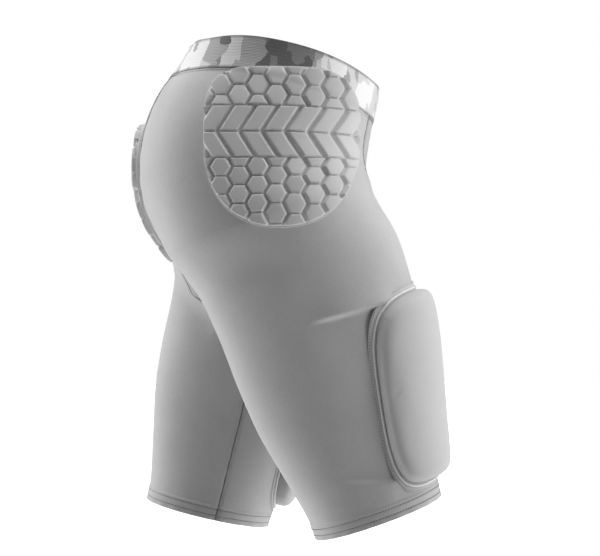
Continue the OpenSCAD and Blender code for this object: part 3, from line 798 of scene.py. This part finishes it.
# ---------------------------------------------------------------- thigh pads
def puff(obj, pinned, pressure, cap, frames=20):
    """Blow the cover up a little with the cloth solver; pinned points stay put."""
    mesh = obj.data
    rest = np.zeros(len(mesh.vertices) * 3)
    mesh.vertices.foreach_get("co", rest)
    group = obj.vertex_groups.new(name="pin")
    group.add(np.flatnonzero(pinned).tolist(), 1.0, "REPLACE")
    cloth = obj.modifiers.new("Cloth", "CLOTH")
    c = cloth.settings
    c.quality = 6
    c.mass = 0.25
    c.tension_stiffness = c.compression_stiffness = 22
    c.shear_stiffness, c.bending_stiffness = 10, 2
    c.use_pressure = True
    c.uniform_pressure_force = pressure
    c.vertex_group_mass = "pin"
    c.effector_weights.gravity = 0
    scene = bpy.context.scene
    scene.frame_start, scene.frame_end = 1, frames
    cloth.point_cache.frame_start, cloth.point_cache.frame_end = 1, frames
    for f in range(1, frames + 1):
        scene.frame_set(f)
    final = obj.evaluated_get(bpy.context.evaluated_depsgraph_get()).to_mesh()
    now = np.zeros_like(rest)
    final.vertices.foreach_get("co", now)
    obj.modifiers.remove(cloth)
    obj.vertex_groups.clear()
    scene.frame_set(1)
    step = (now - rest).reshape(-1, 3)
    far = np.linalg.norm(step, axis=1, keepdims=True)
    step *= np.minimum(1, cap / np.maximum(far, 1e-9))
    mesh.vertices.foreach_set("co", (rest.reshape(-1, 3) + step).ravel())
    mesh.update()
    most = float(np.linalg.norm(step, axis=1).max())
    print(obj.name, "swelled by up to", round(most * 1000, 1), "mm")


# how far out from the pad's middle each part lies, as a share of the outline
COVER_REACH, PIPING_REACH, SEWN_REACH, FLANGE_REACH = 0.955, 0.985, 1.035, (0.95, 1.05)
COVER_FOOT, COVER_TOP = 2.2, 18.4
FINE = (2.9, 1.9)                  # pitch and length of the finer stitches


def thigh_pad(side):
    name = NAME[side]
    x, y, reach = squircle(81, 121, THIGH_ROUND)
    p = thigh_at(side, COVER_REACH * x, COVER_REACH * y)
    n = normal(p, side)
    h = mix(COVER_FOOT, COVER_TOP, (1 - np.minimum(reach, 1) ** 15) ** (1 / 2.3))
    obj = shell(f"{name}_thigh_pad", p, n, 1.6, h, uv=np.stack([x * 0.06, y * 0.1], -1))
    # the rim and the hidden underside stay where they are sewn
    pinned = np.concatenate([reach.ravel() > 0.985, np.ones(x.size, bool)])
    puff(obj, pinned, 4.0, 0.005)
    sub = obj.modifiers.new("Subdivision", "SUBSURF")
    sub.levels = sub.render_levels = 1
    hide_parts(*(f"{name}_thigh_pad_{k}" for k in ("cover", "foam")))
    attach(dress(obj, COVER), name + "_leg")

    # flat seam allowance round the pad, sewn down along its outer edge
    count = 9
    loops = [thigh_loop(side, r, 360) for r in np.linspace(*FLANGE_REACH, count)]
    p, n = (np.stack(v) for v in zip(*loops))
    k = np.linspace(0, 1, count)[:, None]
    high = mix(2.9, 2.0, smooth(k * 1.6)) - 0.5 * smooth((k - 0.86) / 0.14)
    flange = shell(f"{name}_thigh_pad_flange", p, n, 1.0, high, ring=True)
    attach(dress(flange, COVER), name + "_leg")

    p, n = thigh_loop(side, PIPING_REACH, 400)
    cord = tube(f"{name}_thigh_pad_piping", p, n, 1.05, 3.0, ring=True, sides=10)
    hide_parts(f"{name}_thigh_pad_piping")
    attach(dress(cord, PIPING), name + "_leg")

    p, n = thigh_loop(side, SEWN_REACH, 700, close=True)
    row = stitches(f"{name}_thigh_pad_stitching", [(p, n)], *FINE, 0.42, 1.9)
    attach(dress(row, THREAD), name + "_leg")


# ---------------------------------------------------------------- seams and stitching
def leg_loop(side, st, count=700):
    ph = np.linspace(inseam(side, st) - 360, inseam(side, st), count)
    p = at(side, np.full(count, float(st)), ph)
    return p, normal(p, side)


def shifted(p, n, off):
    """The same line moved sideways over the surface."""
    t = unit(np.gradient(p, axis=0))
    return p + np.cross(n, t) * off, n


def sewn_seam(side, label, p, lift):
    """A raised seam with a row of stitches on each side of it."""
    name, n = NAME[side], normal(p, side)
    ridge = tube(f"{name}_{label}", p, n, 0.75, lift, flat=0.6)
    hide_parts(f"{name}_{label}")
    bend(dress(ridge, THREAD))
    rows = [shifted(p, n, off) for off in (-3.6, 3.6)]
    row = stitches(f"{name}_{label}_stitching", rows, *FINE, 0.28, 1.25)
    bend(dress(row, LIGHT_THREAD))


def seams(side):
    name = NAME[side]
    rows = [leg_loop(side, st) for st in HEM_ROWS]
    obj = stitches(f"{name}_hem_stitching", rows, 3.0, 2.2, 0.36, 2.0)
    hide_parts(f"{name}_hem_stitching")
    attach(dress(obj, THREAD), name + "_leg")

    for label, start, stop in (("back_seam", -1.0, -0.02), ("front_seam", 0.02, 1.0)):
        sewn_seam(side, label, strip_edge(side, np.linspace(start, stop, 260)), 0.75)
    st = np.linspace(CLOSED + 1, LEG - 1, 260)
    sewn_seam(side, "inseam", at(side, st, inseam(side, st)), 0.75 + 0.9 * smooth((st - 300) / 3))


# ---------------------------------------------------------------- build
for side in (RIGHT, LEFT):
    side_fabric(side)
    centre_half(side, "back_panel", -1.0, -0.25, "center_back_panel")
    centre_half(side, "gusset", -0.25, 0.25, "crotch_gusset")
    centre_half(side, "front_panel", 0.25, 1.0, "front_pouch_panel")
    hip_pad(side)
    thigh_pad(side)
    seams(side)
waistband()
tail_pad()

p, n = waist_line(np.linspace(TOP + 2, BAND - 2, 12))
lining = shell("waistband_lining", p, n, -1.0, -0.25, ring=True)
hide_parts("waistband_lining")
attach(dress(lining, BRUSHED), "seat")

p, n = waist_line([BAND + 1.8])
ring = tuple(np.concatenate([v[0], v[0, :1]]) for v in (p, n))
sewing = stitches("waist_stitching", [ring], 2.6, 1.8, 0.3, 1.4, slant=0.5)
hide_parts("waist_stitching")
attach(dress(sewing, THREAD), "seat")

across, down = np.meshgrid(np.linspace(-14, 14, 29), np.linspace(TOP + 8, BAND - 6, 22))
tilt = math.radians(WAIST_TILT)
o = np.stack([np.full_like(across, -8.0), across, HIP[2] * (down - TOP) / -TOP], -1)
p = cast(o, -np.array([math.cos(tilt), 0, math.sin(tilt)]), 0)
n = normal(p, 0)
curl = 0.6 * smooth((down - (BAND - 14)) / 8)
label = shell("care_label", p, n, -2.5 - curl, -1.9 - curl)
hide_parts("care_label")
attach(dress(label, LABEL), "seat")

tau, k = np.meshgrid(np.linspace(0.32, 0.96, 90), np.linspace(0.08, 0.92, 60), indexing="ij")
p = strip(tau, k)
lining = shell("front_lining", p, normal(p, 0), -2.0, -1.2, uv=np.stack([k * 0.12, tau * 0.26], -1))
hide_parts("front_lining")
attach(dress(lining, LINING), "seat")

for side in (RIGHT, LEFT):
    plate = frame["nodes"][f"{NAME[side]}_thigh_pad_plate"]
    plate.data.materials.clear()
    plate.data.materials.append(PLATE)

# ---------------------------------------------------------------- studio
scene = bpy.context.scene
scene.view_settings.view_transform = "Standard"

world = bpy.data.worlds.new("studio")
scene.world = world
world.use_nodes = True
tree = world.node_tree
tree.nodes.clear()


def node(kind, **inputs):
    made = tree.nodes.new("ShaderNode" + kind)
    for k, v in inputs.items():
        socket = made.inputs[int(k[1:]) if k[1:].isdigit() else k.replace("_", " ")]
        if isinstance(v, bpy.types.NodeSocket):
            tree.links.new(v, socket)
        else:
            socket.default_value = v
    return made


# soft light, strong from the sides, above and below, and weak from the front and back
way = node("TexCoord").outputs["Generated"]
facing = node("VectorMath", i0=way, i1=(-0.18, -0.98, 0))
facing.operation = "DOT_PRODUCT"
turned = node("Math", i0=facing.outputs["Value"])
turned.operation = "ABSOLUTE"
cone = node("MapRange", Value=turned.outputs[0], i1=0.05, i2=0.57, i3=2.8, i4=0.1)
glow = node("Background", Color=(1, 1, 1, 1), Strength=cone.outputs[0])
white = node("Background", Color=(1, 1, 1, 1), Strength=1.0)
seen = node("LightPath").outputs["Is Camera Ray"]
both = node("MixShader", i0=seen, i1=glow.outputs[0], i2=white.outputs[0])
tree.links.new(both.outputs[0], tree.nodes.new("ShaderNodeOutputWorld").inputs["Surface"])


def lamp(name, place, size, power, target=(0.0, 0.0, -0.22)):
    light = bpy.data.lights.new(name, "AREA")
    light.shape, light.size, light.size_y, light.energy = "RECTANGLE", size[0], size[1], power
    obj = bpy.data.objects.new(name, light)
    scene.collection.objects.link(obj)
    obj.location = place
    way = np.array(target) - np.array(place)
    obj.rotation_euler = Vector(way).to_track_quat("-Z", "Y").to_euler()


lamp("light_back_left", (-1.6, 0.9, 0.2), (0.9, 2.0), 8)
lamp("light_back_right", (1.6, 0.9, 0.2), (0.9, 2.0), 10)
lamp("light_top", (0.0, 0.3, 1.5), (1.4, 1.0), 4)
lamp("light_front", (0.3, -2.2, 0.6), (1.5, 1.2), 1)

HALF_FLOOR, FLOOR_Z = 6000, -640
corners = [(-1, -1), (1, -1), (1, 1), (-1, 1)]
floor = make("studio_floor", [(x * HALF_FLOOR, y * HALF_FLOOR, FLOOR_Z) for x, y in corners],
             [[0, 1, 2, 3]])
pale = Nodes("pale_floor")
grain = pale.noise(3.0, 2.0)
pale.finish(pale.ramp(grain, [(0.0, 0.9), (1.0, 0.93)]), rough=0.9, sheen=0.0, specular=0.1)
pale.shader.inputs["Emission Color"].default_value = (1, 1, 1, 1)
pale.shader.inputs["Emission Strength"].default_value = 0.5
floor.data.materials.append(pale.material)
# the floor is seen by the camera, but throws no light back onto the object
floor.visible_diffuse = False

camera = bpy.data.cameras.new("camera")
camera.lens, camera.sensor_width = 116.5, 36.0
camera.clip_start, camera.clip_end = 0.05, 50
eye = bpy.data.objects.new("camera", camera)
scene.collection.objects.link(eye)
eye.location = (0.0185, -2.0, -0.215)
eye.rotation_euler = (math.radians(90), 0, 0)
scene.camera = eye
